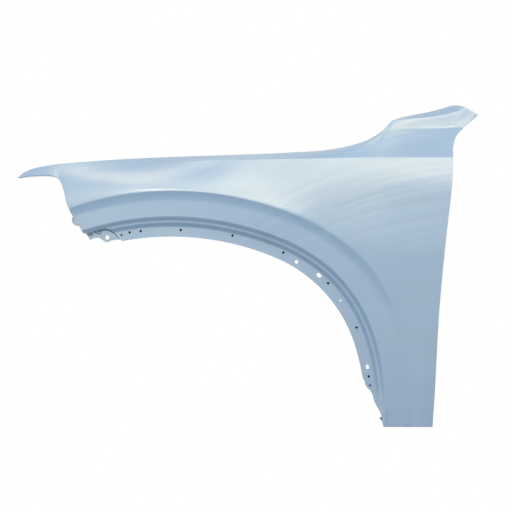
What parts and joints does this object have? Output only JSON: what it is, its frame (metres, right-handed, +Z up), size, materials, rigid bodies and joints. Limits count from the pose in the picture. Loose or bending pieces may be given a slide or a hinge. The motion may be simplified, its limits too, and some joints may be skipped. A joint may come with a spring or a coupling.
{
  "type": "front fender",
  "caption": "Pressed front fender panel for a large off-road vehicle, with a wide wheel-arch cut-out, stepped arch flange, folded lips and small mounting tabs",
  "frame": {"origin": "the hood flange mount, on the underside of the flat flange inboard of the hood edge, 160 mm behind the centre of the wheel arch", "axes": "+X to the rear of the vehicle, +Y inboard, +Z up, as the fender hangs on the left side of the vehicle"},
  "size_m": [1.1033, 0.202, 0.7716],
  "materials": {
    "coated_sheet": "satin pale ice-blue coat",
    "coated_bracket": "satin pale ice-blue coat",
    "rivet_metal": "dull",
    "dark_plastic": "matt black"
  },
  "bodies": {
    "root": {"fender_panel": "coated_sheet", "front_arch_bracket": "coated_bracket", "front_edge_tab": "coated_bracket", "foot_clip": "dark_plastic", "flange_rivet_1": "rivet_metal", "flange_rivet_2": "rivet_metal", "screw_nut_1": "dark_plastic", "screw_nut_2": "dark_plastic", "screw_nut_3": "dark_plastic", "screw_nut_4": "dark_plastic", "screw_nut_5": "dark_plastic", "screw_nut_6": "dark_plastic", "screw_nut_7": "dark_plastic", "screw_nut_8": "dark_plastic"}
  },
  "joints": []
}
